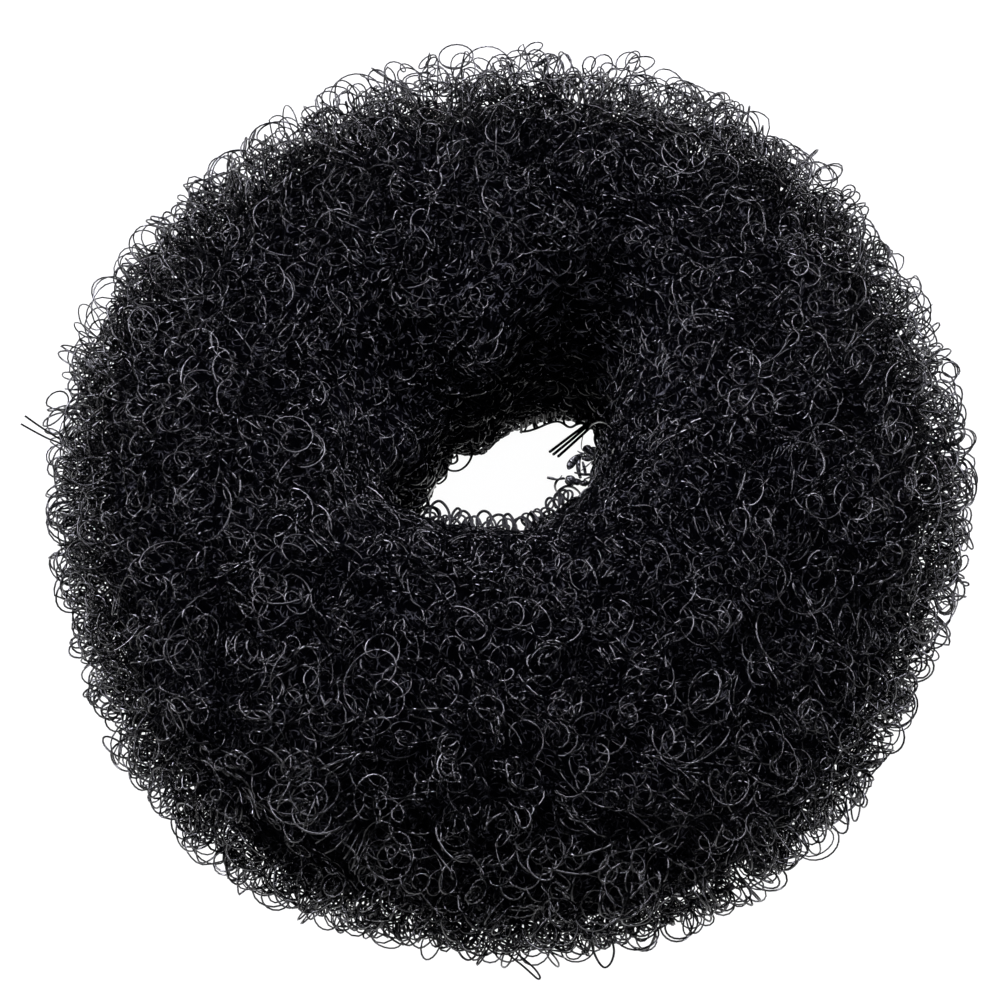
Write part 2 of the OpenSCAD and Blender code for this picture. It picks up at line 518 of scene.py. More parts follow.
# The smallest and the largest curls, how round they are, and how many ways are tried for each strand
LEAST_RADIUS, MOST_RADIUS = 0.6 * MM, 2.4 * MM
ROUNDNESS = (0.8, 1)
TRIES = 3

# How far a strand's ends dive, and how softly strands level off at the table
END_DIVE = 2.5 * MM
SOFT_LANDING = 0.3 * MM

# By what share strands in the passage stand out less and lie less deep, and by what share tufts and
# lumps are lower there
LESS_PROUD, LESS_DEEP, LESS_LUMPY = 0.85, 0.7, 0.6

# The thickness of the strands as shares of the strand width, by what share they are thicker on the
# outer flank, and the upward part of the surface's normal at which the flank ends
WIDTHS = (0.88, 1.12)
FLANK_THICKER, FLANK_END = 0.2, 0.6


def strand_walks(surface, cover, rng, sleeve, recipe):
    """The ways that the strands of one turn take over the tube, as angles, and the radius of their
    curls and how far these turn at each step."""
    steps, strands = sleeve.bends // recipe.cut, sleeve.strands * recipe.cut
    tries = TRIES * strands
    radius = sleeve.curl_radius * recipe.radius * np.exp(RADIUS_SPREAD * rng.standard_normal((tries, 1)))
    radius = radius * np.exp(drift(rng, tries, steps, *RADIUS_DRIFT))
    radius = np.clip(radius, LEAST_RADIUS, MOST_RADIUS)
    bend = 2 * np.arccos(1 - recipe.flatness / radius)
    pitch = PITCH_SPREAD * rng.standard_normal((tries, 1)) + drift(rng, tries, steps, *PITCH_DRIFT)
    pitch = sleeve.curl_pitch * recipe.pitch * np.exp(pitch)
    heading = recipe.heading + rng.choice([0, math.pi], (tries, 1))
    heading = heading + rng.uniform(-HEADING_SPREAD, HEADING_SPREAD, (tries, 1))
    heading = heading + drift(rng, tries, steps, *HEADING_DRIFT)
    start = surface.scatter(rng, tries)
    turns, rolls = surface.walk(*start, heading, pitch * bend / (2 * math.pi))
    picked = cover.pick(turns, rolls, strands)
    return turns[picked], rolls[picked], radius[picked], bend[picked]


def strand_curls(rng, radius, bend):
    """The ways from the middle of each strand's curls to the strand, and the curls' half axes."""
    strands, steps = bend.shape
    spin = np.cumsum(bend, 1) + rng.uniform(0, 2 * math.pi, (strands, 1))
    spin *= rng.choice([-1, 1], (strands, 1))
    facing = unit(rng.standard_normal((strands, 1, 3)) + UP * rng.normal(0, UP_SPREAD, (strands, 1, 1)))
    facing = unit(facing + drift(rng, strands, steps, *FACING_DRIFT, width=3))
    across = unit(np.cross(facing, rng.standard_normal((strands, 1, 3))))
    lift = np.cross(facing, across) * radius[..., None] * rng.uniform(*ROUNDNESS, (strands, 1, 1))
    across = across * radius[..., None]
    return across * np.cos(spin)[..., None] + lift * np.sin(spin)[..., None], across, lift


def strand_depths(rng, recipe, strands, steps):
    """How deep each strand runs below the surface. Its ends dive, so that none stands out."""
    depth = rng.uniform(recipe.shallow, recipe.deep, (strands, 1))
    depth = depth + drift(rng, strands, steps, *DEPTH_DRIFT)
    place = np.arange(steps)
    from_end = np.minimum(place, steps - 1 - place)
    end_bends = 2 + 6 / recipe.cut
    return depth + END_DIVE * (1 - ease(from_end / end_bends))


def curled_paths(surface, tufts, cover, rng, sleeve, recipe):
    """Paths of curled strands that wander over the tube, strands by points by 3, and their widths."""
    turns, rolls, radius, bend = strand_walks(surface, cover, rng, sleeve, recipe)
    curl, across, lift = strand_curls(rng, radius, bend)
    depth = strand_depths(rng, recipe, *bend.shape)
    point, normal, _, _ = surface.at(turns, rolls)
    passage = inside_passage(rolls)
    open_rim = summed(OPEN_RIM, turns, rolls)
    stands = np.hypot(row_dot(across, normal), row_dot(lift, normal))[..., 0]
    limit = sleeve.proud * (1 - LESS_PROUD * passage) - THINNING * summed(THIN_PLACES, turns, rolls)
    limit = limit + tufts.at(turns, rolls) * sleeve.tuft_height * (1 - LESS_LUMPY * passage)
    sunk = np.maximum(depth * (1 - LESS_DEEP * passage) * (1 + open_rim), stands - limit)
    paths = point + curl - normal * sunk[..., None]
    paths[..., 2] = kept_above(paths[..., 2], sleeve.strand_width, SOFT_LANDING)
    flank = ease(1 - np.abs(normal[..., 2]) / FLANK_END) * (1 - passage) * (1 - np.clip(open_rim, 0, 1))
    widths = sleeve.strand_width * rng.uniform(*WIDTHS, (len(depth), 1)) * (1 + FLANK_THICKER * flank)
    return paths, widths


def with_inputs(node, **values):
    """The node, with values on its inputs. A space in an input's name is an underscore here."""
    for name, value in values.items():
        node.inputs[name.replace("_", " ")].default_value = value
    return node


class Shading:
    """The nodes of a new material, and the steps that several materials share."""

    def __init__(self, name):
        self.material = bpy.data.materials.new(name)
        self.material.use_nodes = True
        self.nodes = self.material.node_tree.nodes
        self.links = self.material.node_tree.links
        self.shader = self.nodes["Principled BSDF"]

    def calculate(self, operation, first, second=None):
        """The result of a sum with one node's value, and with a number or another node's value."""
        node = self.nodes.new("ShaderNodeMath")
        node.operation = operation
        self.links.new(first, node.inputs[0])
        if isinstance(second, float):
            node.inputs[1].default_value = second
        elif second is not None:
            self.links.new(second, node.inputs[1])
        return node.outputs["Value"]

    def tint(self, share, dark, pale):
        """Mix the colour from a dark and a pale one, by the share of the pale one."""
        shade = with_inputs(self.nodes.new("ShaderNodeMixRGB"), Color1=(*dark, 1), Color2=(*pale, 1))
        self.links.new(share, shade.inputs["Fac"])
        self.links.new(shade.outputs["Color"], self.shader.inputs["Base Color"])

    def roughen(self, share, least, most):
        """Let the roughness vary between two values."""
        gloss = with_inputs(self.nodes.new("ShaderNodeMapRange"), To_Min=least, To_Max=most)
        self.links.new(share, gloss.inputs["Value"])
        self.links.new(gloss.outputs["Result"], self.shader.inputs["Roughness"])

    def raise_bumps(self, share, strength, distance):
        """Raise small bumps where the share is high."""
        bump = with_inputs(self.nodes.new("ShaderNodeBump"), Strength=strength, Distance=distance)
        self.links.new(share, bump.inputs["Height"])
        self.links.new(bump.outputs["Normal"], self.shader.inputs["Normal"])


def nylon(name, colour, index, roughness=0.10, spread=0.5):
    """Black dyed nylon strand: a smooth thread with a gloss set by its refractive index, and a tone
    that is a little different on each strand."""
    shading = Shading(name)
    with_inputs(shading.shader, IOR=index)
    place = shading.nodes.new("ShaderNodeNewGeometry")
    tone = shading.nodes.new("ShaderNodeAttribute")
    tone.attribute_name = "tone"
    ripple = with_inputs(shading.nodes.new("ShaderNodeTexNoise"), Scale=300, Detail=2)
    shading.links.new(place.outputs["Position"], ripple.inputs["Vector"])
    dark, pale = [[c * share for c in colour] for share in (1 - spread, 1 + spread)]
    shading.tint(tone.outputs["Fac"], dark, pale)
    shading.roughen(ripple.outputs["Fac"], roughness - 0.04, roughness + 0.04)
    return shading.material


def ring_surface():
    """The ring's surface, read once and kept."""
    if "surface" not in KEPT:
        low, high = frame["record"]["physics"]["openings"][0]["box_m"]
        middle = [(low[k] + high[k]) / 2 for k in (0, 1)]
        KEPT["surface"] = RingSurface(frame["nodes"]["mesh_ring"], middle)
    return KEPT["surface"]


def rim_tufts(sleeve):
    """The tufts that all strands and the core share."""
    if "tufts" not in KEPT:
        rng = np.random.default_rng(11)
        low, high = CAD_BOX
        around = round(math.pi * (high[0] - low[0]) / sleeve.tuft_width)
        over = round(math.pi * (high[2] - low[2]) / sleeve.tuft_width)
        KEPT["tufts"] = Tufts(rng, around, over)
    return KEPT["tufts"]


# Places in the passage where the mesh is thin: the angle round the ring and its span, the angle
# round the tube and its span, all in degrees, and by how many millimetres the core is thinner. The
# strands sink there by THINNING for each of these millimetres.
THINNING = 0.8 * MM
THIN_PLACES = (
    (60, 34, 212, 50, 0.5),
    (195, 30, 172, 80, 4.4),
    (268, 60, 150, 50, 0.8),
    (345, 40, 150, 50, 1.0),
    (28, 22, 185, 60, -0.25),
)

# Places round the rim where the inner turns lie deeper, so that light comes through: angles as
# above, and by what share they are deeper, or below zero where they lie closer to the surface.
OPEN_RIM = (
    (92, 85, 24, 52, 1.0),
    (180, 55, 12, 45, 0.3),
    (5, 50, 12, 45, 0.4),
    (270, 85, 336, 62, -0.45),
)


def at_height(height, *places):
    """Rows of pixel across, pixel down and the one height that they share."""
    return [(across, down, height) for across, down in places]


# Loose strands, each a thickness in millimetres and rows of pixel across, pixel down and height in
# millimetres.
BRISTLES = (
    (0.19, [(549.6, 452, 14.5), (568, 438, 13), (586.5, 424, 11.6), (598, 415, 10.8)]),
    (0.19, [(553.2, 454.6, 14.7), (571, 440, 13.2), (588, 425.5, 11.6), (600, 416, 10.8)]),
    (0.19, [(558, 456.6, 15), (576, 440.5, 13.5), (593.5, 424.5, 12), (602, 417, 11)]),
    (0.06, [(589, 425, 12), (584, 433, 12.6), (582, 440, 13.2), (581.3, 447.5, 13.8), (583, 451, 14)]),
)
PASSAGE_CURLS = (
    (0.18, [(588, 428, 12.5), (592, 424.3, 14.5), (596, 422.3, 17), (600, 421.4, 20), (606, 423, 24),
        (611, 426.5, 28.5), (615, 432, 32), (616.7, 438, 34.5), (616.5, 446, 35), (613, 452, 33)]),
    (0.17, [(404, 478, 22), (410, 483, 21), (417, 484, 20), (423, 480, 19), (427, 474, 18),
        (426, 469, 17)]),
    (0.17, [(408, 492, 22), (415, 488, 21), (423, 488, 20), (430, 484, 19), (434, 477, 17),
        (433, 470, 15)]),
    (0.17, [(402, 487, 23), (409, 489, 22), (414, 495, 22), (420, 498, 22), (427, 496, 21),
        (431, 490, 19)]),
    (0.16, [(440, 463, 12), (436, 468, 13), (437, 474, 13), (441, 477, 12), (446, 474, 11),
        (447, 468, 11), (443, 464, 11)]),
    (0.16, [(452, 452, 11.5), (448, 456, 12), (448, 461, 12), (452, 464, 11.5), (457, 461, 11),
        (457, 455, 11)]),
    (0.20, [(591, 421, 12.3), (594, 424, 12.5), (598, 426, 13), (596.3, 432, 13.5), (595, 438.5, 14),
        (596.5, 445, 14.3), (600, 451, 14.5)]),
    (0.20, [(520, 432, 9.5), (528, 431, 9.7), (534, 429.3, 9.8), (540, 427, 10), (546, 424.3, 10.1),
        (553, 422, 10.2), (559, 421.7, 10.2), (564, 424, 10.3), (568, 426.8, 10.4), (572, 427, 10.5),
        (576, 424.8, 10.6), (581, 423.3, 10.8), (587, 423.6, 11), (593, 420, 11.5)]),
    (0.18, [(444, 462, 10.5), (447, 467.5, 11), (450, 470.3, 11), (455, 471, 11), (460, 470, 11),
        (465.5, 466.2, 11), (469.5, 461, 11), (471.7, 455.5, 11), (471.8, 451, 11), (469.5, 448, 11),
        (465, 445, 11)]),
    (0.17, at_height(9, (433, 480), (438, 483.7), (442, 482), (445.5, 478.5), (446.5, 474.5),
        (446, 471), (443, 466))),
    (0.15, at_height(9.5, (432, 484), (437, 481.5), (442, 477.5), (446, 471))),
    (0.14, at_height(9, (488.5, 442), (487.2, 448), (486, 452.3))),
    (0.17, [(436, 482, 12), (433.5, 487, 14), (430.5, 492, 17), (427, 498.5, 20), (422, 504, 20),
        (417, 507, 20), (411, 507.5, 20)]),
    (0.16, [(408, 497, 20), (412, 500, 21), (416, 501, 21.5), (420, 499, 21.5), (423, 495, 21)]),
    (0.17, [(425, 494, 21), (428, 500, 22), (428.7, 507, 23), (426, 512.5, 24), (420, 517, 25),
        (413, 515, 25)]),
    (0.17, [(409, 520, 25), (412, 515, 25), (416, 512, 25.5), (421, 508.5, 26), (428, 506, 27),
        (434, 507, 27.5), (438.5, 510, 28), (440, 514.5, 28), (437.5, 521, 28), (432, 531, 28)]),
    (0.17, [(415, 512, 24), (421, 520, 26), (425, 526, 27.5), (430, 534, 29)]),
    (0.16, [(413, 517, 25), (418, 523, 27), (423, 531, 28.5)]),
    (0.17, at_height(28, (435, 532), (431.5, 524), (430, 515), (431, 507.5), (434, 503), (439, 501),
        (443.5, 503.5), (447.5, 509), (449.5, 515), (450, 522), (448, 531))),
    (0.16, at_height(28, (447, 532), (445.3, 523), (446.5, 517.8), (450, 517), (456, 519.5), (461, 525),
        (465, 532))),
    (0.16, at_height(28, (450, 527), (451.5, 517), (454, 511.5), (457.5, 508.3), (460.5, 510.5),
        (460.5, 515), (457, 520), (450, 528))),
    (0.17, at_height(28, (452, 522), (456, 515.5), (460, 512), (464, 511), (468, 513.5), (470.5, 518),
        (472.5, 524), (474, 532))),
    (0.16, at_height(28, (461, 530), (463, 523), (466.5, 518.5), (470, 517.5), (472.5, 520.5),
        (471, 526), (466, 530))),
    (0.17, at_height(28, (478, 531), (476.8, 523), (477.3, 517), (480, 512.7), (484, 511),
        (488.5, 512.8), (491.5, 517.5), (490.8, 522), (487, 527), (482, 531))),
    (0.17, at_height(28, (487, 526), (490.5, 519.5), (494.5, 515.8), (499, 514.6), (503, 516),
        (506, 520.5), (507, 530))),
    (0.17, at_height(28, (503.5, 530), (503.2, 521), (504.5, 516), (508, 514), (511.5, 517),
        (514, 522.5), (514.5, 532))),
    (0.17, at_height(28, (512, 532), (514.5, 523.5), (518, 518.5), (522.5, 517), (526.5, 519.8),
        (529, 525), (528.5, 533))),
    (0.16, at_height(28, (530, 530), (532, 524), (535, 519.5), (540, 517.5), (545, 519), (547, 525))),
    (0.17, [(538, 525, 28), (541, 516.5, 27.5), (546, 511.5, 27), (551.5, 510, 27), (556, 513.5, 27),
        (557, 520, 27.5)]),
    (0.16, at_height(26, (550, 513), (546.5, 507.5), (546, 501.5), (549, 498), (553, 499.5),
        (553.5, 505), (550.5, 510))),
    (0.16, at_height(26, (556, 508), (553.3, 501), (555.5, 496), (560, 496), (561.5, 501),
        (558.5, 507))),
    (0.16, at_height(26, (562, 505), (559, 497.5), (560, 491.5), (564.5, 490), (568, 493),
        (567.5, 500))),
    (0.17, [(564, 478, 15.2), (560, 478.7, 15.2), (556.8, 481, 15.3), (555, 485.5, 16),
        (556, 490.5, 18), (559, 494, 21), (563, 497, 24)]),
    (0.18, [(554, 500, 24), (556.5, 494, 22), (560, 489.5, 21), (566, 486.3, 21), (572, 487, 22),
        (578, 491, 24.5), (582, 497, 27.5), (584, 504, 29.5)]),
    (0.30, at_height(28, (530.3, 511.7), (533.2, 514.6), (536, 517.6), (539, 522))),
    (0.20, [(520, 421, 12), (521.5, 426, 11), (521, 432.5, 9.6)]),
    (0.17, [(526, 417, 12), (527.2, 422, 11), (526.5, 427, 10), (524, 431.5, 9.7)]),
    (0.22, [(534, 415, 12), (533, 420, 11), (533.8, 425, 10), (535, 429, 9.8)]),
    (0.20, [(537, 415, 12), (535.3, 420, 11), (536, 424, 10), (537.5, 428, 9.8)]),
    (0.22, [(544, 413, 12), (545, 418, 11), (544.3, 422, 10), (545.5, 424.5, 10)]),
    (0.22, [(548, 412, 12), (547, 417, 11), (548.6, 421, 10), (549, 423.5, 10)]),
    (0.22, [(552, 411, 12), (551.6, 416, 11), (550.3, 420, 10), (552.5, 422, 10)]),
    (0.22, [(555.5, 410, 12), (554.2, 415, 11), (555.6, 419, 10), (556.3, 422, 10)]),
    (0.18, [(563.8, 409, 12), (565, 414, 11), (563.6, 419, 10.5), (564.5, 424, 10.3)]),
    (0.22, [(575.5, 407, 12), (576.8, 413, 11.2), (575.7, 419, 10.8), (577, 424.5, 10.6)]),
    (0.20, [(579, 406, 12), (578.2, 412, 11.3), (579, 418, 11), (579.2, 423.5, 10.7)]),
    (0.20, [(586.5, 404, 12.5), (585.6, 410, 12), (587.2, 417, 11.3), (586.5, 423.5, 11)]),
)

# The passage's near lip, as pixel across, pixel down and height in millimetres, and the outline of
# a loop on it, as shares of the loop's half width and height.
NEAR_LIP = (
    (424, 519, 27), (440, 526, 28), (470, 531, 28), (500, 532, 28), (520, 530, 28), (540, 522, 27.5),
    (556, 510, 26), (567, 499, 24),
)
LOOP = (
    (0.6, -0.3), (1.0, 0.4), (0.7, 0.85), (0.0, 1.0), (-0.7, 0.85), (-1.0, 0.4), (-0.4, 0.0),
    (0.4, -0.3),
)
RIM_CURLS = (
    (0.15, [(64, 446, 20), (57, 442, 21), (49, 439, 21.5), (38, 433.5, 22), (28, 428, 22.5),
        (21, 424, 23)]),
    (0.15, [(66, 442, 20), (58, 438, 21), (49, 432.5, 22), (37, 424.5, 23), (25, 416, 24)]),
    (0.16, [(500, 945, 13), (506, 952, 12), (514, 959, 12), (523, 966, 12), (532, 974, 12),
        (538, 979, 12), (540, 976.5, 12), (534, 968, 12), (525, 960, 12), (517, 953, 12),
        (512, 944, 13)]),
    (0.16, [(456, 936, 14), (457.5, 948, 13), (462, 956.5, 13), (468.5, 960, 13), (475, 956, 13),
        (478, 948, 13), (476, 936, 14)]),
    (0.16, [(590, 936, 14), (593.5, 951, 13), (599, 962.5, 13), (605, 967.5, 13), (611, 962.5, 13),
        (614, 951, 13), (611, 936, 14)]),
)

# The melted strips: how far each is turned from facing the viewer (0) to facing up (1), half its
# thickness and its half widths in millimetres, and rows as those of the strands.
STRIPS = (
    (0, 0.10, (0.10, 0.30, 0.40, 0.36, 0.10),
     [(582.5, 454, 14.2), (577.5, 457.3, 14.3), (573, 461.5, 14.4), (569.8, 466, 14.5),
      (568.2, 469.5, 14.5)]),
    (0, 0.09, (0.12, 0.20, 0.23, 0.20, 0.14),
     [(581.5, 455, 14.2), (578.9, 460, 14.2), (578.2, 466, 14.3), (578.8, 472, 14.5),
      (580.5, 478, 14.8)]),
    (1, 0.08, (0.16, 0.17, 0.16, 0.12),
     [(593.5, 453.5, 15), (596, 460.5, 18), (597.9, 467, 21.5), (599.6, 475, 25.5)]),
    (0, 0.08, (0.08, 0.13, 0.10), [(580.5, 456.8, 14.5), (587, 456, 14.7), (594, 455.5, 14.7)]),
    (0, 0.10, (0.12, 0.22, 0.14), at_height(14, (582, 458.5), (588, 459.4), (594.5, 458))),
    (0, 0.08, (0.10, 0.17, 0.13), [(582.7, 462, 14.3), (584.3, 468, 14.5), (585.8, 475.5, 14.8)]),
    (1, 0.05, (0.06, 0.07, 0.06), [(592.5, 461, 14.6), (587, 465.8, 14.7), (581.5, 470.5, 14.8)]),
    (0, 0.10, (0.08, 0.14, 0.14, 0.14),
     [(574.5, 472.6, 14.8), (583, 474.4, 15), (591, 474.6, 15.3), (602, 475.6, 15.6)]),
    (0, 0.07, (0.07, 0.10, 0.09), at_height(15.6, (584, 479.5), (591, 476.8), (600, 474.4))),
    (0, 0.10, (0.12, 0.15, 0.10, 0.10),
     [(547.3, 477.6, 15), (552, 478.5, 15), (557, 479.4, 15), (565, 478.5, 15.2)]),
    (0, 0.05, (0.07, 0.05), [(559, 479.4, 15), (562, 475.3, 15)]),
    (0, 0.07, (0.05, 0.08, 0.14), at_height(14.2, (577.3, 450.9), (580.5, 452.7), (585, 454))),
)

# The melted lumps: pixel across, pixel down and height, then the reach across, up and away, in
# millimetres.
LUMPS = (
    ((587.3, 449.6, 14.1), (0.46, 0.54, 0.50)),
    ((594.6, 450.2, 14.3), (0.36, 0.36, 0.40)),
    ((591.0, 452.2, 14.2), (0.52, 0.34, 0.42)),
    ((569.6, 480.4, 15.0), (0.56, 0.52, 0.46)),
    ((576.5, 482.0, 15.3), (0.50, 0.36, 0.40)),
    ((584.0, 483.5, 15.7), (0.52, 0.34, 0.40)),
)

# Each recipe's fourth value is the refractive index. The low indices of the three inner turns are painted
# shade: lit and shaded copies of one nylon, with the inner ones dimmed as if in shadow.
TURNS_OF_THE_SLEEVE = {
    "sleeve_turn_deepest": CurlRecipe(2.2 * MM, 3.4 * MM, 0, 1.1, radius=0.9, flatness=0.08 * MM),
    "sleeve_turn_deep": CurlRecipe(1.4 * MM, 2.6 * MM, 72, 1.12, radius=0.9, flatness=0.065 * MM),
    "sleeve_turn_middle": CurlRecipe(0.7 * MM, 1.9 * MM, 144, 1.3, flatness=0.05 * MM),
    "sleeve_turn_shallow": CurlRecipe(
        0.0 * MM, 1.1 * MM, 36, 1.46, radius=0.9, flatness=0.032 * MM, cut=2
    ),
    "sleeve_turn_outer": CurlRecipe(
        -0.8 * MM, 0.4 * MM, 108, 1.41, radius=1.2, flatness=0.022 * MM, cut=2, pitch=1.3
    ),
}


class RING_OT_roll_core(bpy.types.Operator):
    """Make the dense dark middle of the rolled sleeve"""

    bl_idname = "bun_ring.roll_core"
    bl_label = "Roll the Core"

    LINES = 200
    POINTS = 96

    # The small lumps round the ring and round the tube, and how much deeper the core lies at the
    # front lip and where the rim is most open, in millimetres
    SMALL_LUMPS = (150, 60)
    LIP_DEEPER = 0.3
    RIM_DEEPER = 2.5

    # The core's lowest point, and how softly it levels off there
    LOWEST = 1.0 * MM
    SOFTNESS = 0.5 * MM

    # To lay the faces out flat: the reach that parts the flank from the passage, the radius that each
    # is unrolled at, and the upward part of a normal from which a face is laid out by plan
    PARTING = 25 * MM
    FLANK_RADIUS, PASSAGE_RADIUS = 45 * MM, 9 * MM
    BY_PLAN = 0.6

    # Four sets of faint rings: the distance between them and their radius, both in millimetres, and
    # a shift that keeps the sets apart. Then how far a ring's line is at its palest, and how far it
    # shows at all. The rings' pale lines are painted highlights, standing in for deep strands that
    # catch the light.
    RINGS = ((2.4, 1.0, 0), (3.1, 1.4, 7), (1.7, 0.7, 13), (2.0, 0.9, 29))
    LINE_MIDDLE, LINE_END = 0.02 * MM, 0.06 * MM

    def execute(self, context):
        core = context.scene.bun_ring_core
        sleeve = context.scene.bun_ring_sleeve
        surface, tufts = ring_surface(), rim_tufts(sleeve)
        lumps = Tufts(np.random.default_rng(12), *self.SMALL_LUMPS)
        turn, roll = np.meshgrid(
            np.arange(self.LINES) * 2 * math.pi / self.LINES,
            np.arange(self.POINTS) * 2 * math.pi / self.POINTS,
            indexing="ij",
        )
        point, normal, _, _ = surface.at(turn, roll)
        passage = inside_passage(roll)
        depth = core.depth_outside + (core.depth_passage - core.depth_outside) * passage
        deeper = self.LIP_DEEPER * on_front_lip(turn, roll) + summed(THIN_PLACES, turn, roll)
        deeper = deeper + self.RIM_DEEPER * summed(OPEN_RIM, turn, roll)
        height = tufts.at(turn, roll) * sleeve.tuft_height + lumps.at(turn, roll) * core.lump_height
        height = height * (1 - LESS_LUMPY * passage)
        points = point - normal * (depth + MM * deeper - height)[..., None]
        points[..., 2] = kept_above(points[..., 2], self.LOWEST, self.SOFTNESS)
        corner = np.arange(self.LINES * self.POINTS).reshape(self.LINES, self.POINTS)
        quads = np.stack(
            [corner, np.roll(corner, -1, 0), np.roll(corner, (-1, -1), (0, 1)), np.roll(corner, -1, 1)], -1
        )
        piece = joined_mesh(
            "rolled_core", points, quads.reshape(-1, 4).tolist(), self.material(core)
        )
        self.unroll(piece, surface)
        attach(piece, "root")
        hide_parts("mesh_ring")
        return {"FINISHED"}

    def unroll(self, piece, surface):
        """Lay the core's faces out flat in metres: its top by plan, and its sides as a strip."""
        corners = np.array([piece.data.vertices[v].co for p in piece.data.polygons for v in p.vertices])
        corners = corners.reshape(-1, 4, 3)
        normals = np.array([p.normal for p in piece.data.polygons])
        from_middle = (corners - surface.middle)[..., :2]
        turns = np.arctan2(from_middle[..., 1], from_middle[..., 0])
        turns = turns[:, :1] + (turns - turns[:, :1] + math.pi) % (2 * math.pi) - math.pi
        reach = np.linalg.norm(from_middle, axis=-1)
        outside = (reach.mean(1) > self.PARTING)[:, None]
        radius = np.where(outside, self.FLANK_RADIUS, self.PASSAGE_RADIUS)
        strip = np.stack([turns * radius, corners[..., 2]], -1)
        flat = np.where((np.abs(normals[:, 2]) > self.BY_PLAN)[:, None, None], corners[..., :2], strip)
        flat = flat.astype(np.float32).ravel()
        piece.data.uv_layers.new(name="unrolled").data.foreach_set("uv", flat)

    def rings(self, shading, place, size, radius, shift):
        """The thin lines of rings round scattered middles, 1 on each line and 0 beside it."""
        move = shading.nodes.new("ShaderNodeVectorMath")
        move.operation = "ADD"
        move.inputs[1].default_value = (shift, shift, 0)
        shading.links.new(place, move.inputs[0])
        cells = shading.nodes.new("ShaderNodeTexVoronoi")
        cells.voronoi_dimensions = "2D"
        with_inputs(cells, Scale=1 / size)
        shading.links.new(move.outputs["Vector"], cells.inputs["Vector"])
        off = shading.calculate("SUBTRACT", cells.outputs["Distance"], radius / size)
        line = shading.nodes.new("ShaderNodeMapRange")
        line.interpolation_type = "SMOOTHSTEP"
        with_inputs(line, From_Min=self.LINE_END / size, From_Max=self.LINE_MIDDLE / size)
        shading.links.new(shading.calculate("ABSOLUTE", off), line.inputs["Value"])
        return line.outputs["Result"]

    def material(self, core):
        """Strands packed so close that only faint arcs of them catch the light. The arcs are painted
        highlights: pale lines in the colour, broken into dashes by noise patches; the arcs are also
        raised as small bumps.
        """
        shading = Shading("packed_nylon_painted_glints")
        place = shading.nodes.new("ShaderNodeUVMap")
        place.uv_map = "unrolled"
        lines = [
            self.rings(shading, place.outputs["UV"], size * MM, radius * MM, shift)
            for size, radius, shift in self.RINGS
        ]
        arcs = lines[0]
        for line in lines[1:]:
            arcs = shading.calculate("MAXIMUM", arcs, line)
        patches = with_inputs(shading.nodes.new("ShaderNodeTexNoise"), Scale=1100)
        shading.links.new(place.outputs["UV"], patches.inputs["Vector"])
        lit = with_inputs(shading.nodes.new("ShaderNodeMapRange"), From_Min=0.45, From_Max=0.6)
        shading.links.new(patches.outputs["Fac"], lit.inputs["Value"])
        painted_glints = shading.calculate("MULTIPLY", arcs, lit.outputs["Result"])
        # Painted highlight: the pale colour on the broken arcs stands in for deep strands catching the
        # light.
        shading.tint(painted_glints, core.core_colour, (0.04, 0.04, 0.045))
        with_inputs(shading.shader, Roughness=0.6, Specular_IOR_Level=0.0)
        shading.raise_bumps(arcs, 0.5, 0.15 * MM)
        return shading.material


class RING_OT_curl_sleeve(bpy.types.Operator):
    """Curl the strands of the mesh sleeve, one turn of the roll after the other"""

    bl_idname = "bun_ring.curl_sleeve"
    bl_label = "Curl the Sleeve"

    def execute(self, context):
        sleeve = context.scene.bun_ring_sleeve
        surface, tufts = ring_surface(), rim_tufts(sleeve)
        cover = Cover(surface)
        for seed, (name, recipe) in enumerate(TURNS_OF_THE_SLEEVE.items()):
            rng = np.random.default_rng(100 + seed)
            # Painted shade: each turn gets its own copy of the nylon, with a lower index and so a dimmer
            # gloss on the inner turns.
            material = nylon(name + "_nylon", sleeve.nylon_colour, recipe.index)
            paths, widths = curled_paths(surface, tufts, cover, rng, sleeve, recipe)
            piece = strand_tubes(name, paths, widths, material, rng)
            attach(piece, "root")
        return {"FINISHED"}


class RING_OT_melt_seam_end(bpy.types.Operator):
    """Make the melted knot and flat ends where the sleeve was closed"""

    bl_idname = "bun_ring.melt_seam_end"
    bl_label = "Melt the Seam End"

    # Points along each strip, and its chance waves: their number, and their height in millimetres
    STEPS = 18
    WAVES = 7
    WAVE_HEIGHT = 0.03

    def execute(self, context):
        stage = context.scene.bun_ring_stage
        rng = np.random.default_rng(31)
        toward_eye, rise = view_axes(stage)
        axes = np.array([(1, 0, 0), rise, toward_eye])
        parts = [
            lump(seen_at(stage, x, y, z * MM), np.array(reach) * MM, axes, rng)
            for (x, y, z), reach in LUMPS
        ]
        for turned_up, thickness, widths, rows in STRIPS:
            waves = through(rng.standard_normal((self.WAVES, 1)), self.STEPS)
            path = drawn(stage, rows, self.STEPS) + toward_eye * self.WAVE_HEIGHT * MM * waves
            facing = toward_eye * (1 - turned_up) + UP * turned_up
            parts.append(flat_strip(path, np.array(widths) * MM, thickness * MM, facing))
        points, faces = gathered(parts)
        piece = joined_mesh("melted_seam_end", points, faces, self.material())
        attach(piece, "root")
        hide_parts("seam_end")
        return {"FINISHED"}

    def material(self):
        """Nylon melted flat: black and shiny, with the ribs of the strands that ran together."""
        shading = Shading("melted_nylon")
        place = shading.nodes.new("ShaderNodeNewGeometry")
        ribs = with_inputs(shading.nodes.new("ShaderNodeTexWave"), Scale=900, Distortion=5, Detail=2)
        ribs.bands_direction = "DIAGONAL"
        shading.links.new(place.outputs["Position"], ribs.inputs["Vector"])
        shading.tint(ribs.outputs["Fac"], (0.001, 0.001, 0.0015), (0.005, 0.005, 0.006))
        shading.roughen(ribs.outputs["Fac"], 0.2, 0.36)
        shading.raise_bumps(ribs.outputs["Fac"], 0.4, 0.06 * MM)
        return shading.material


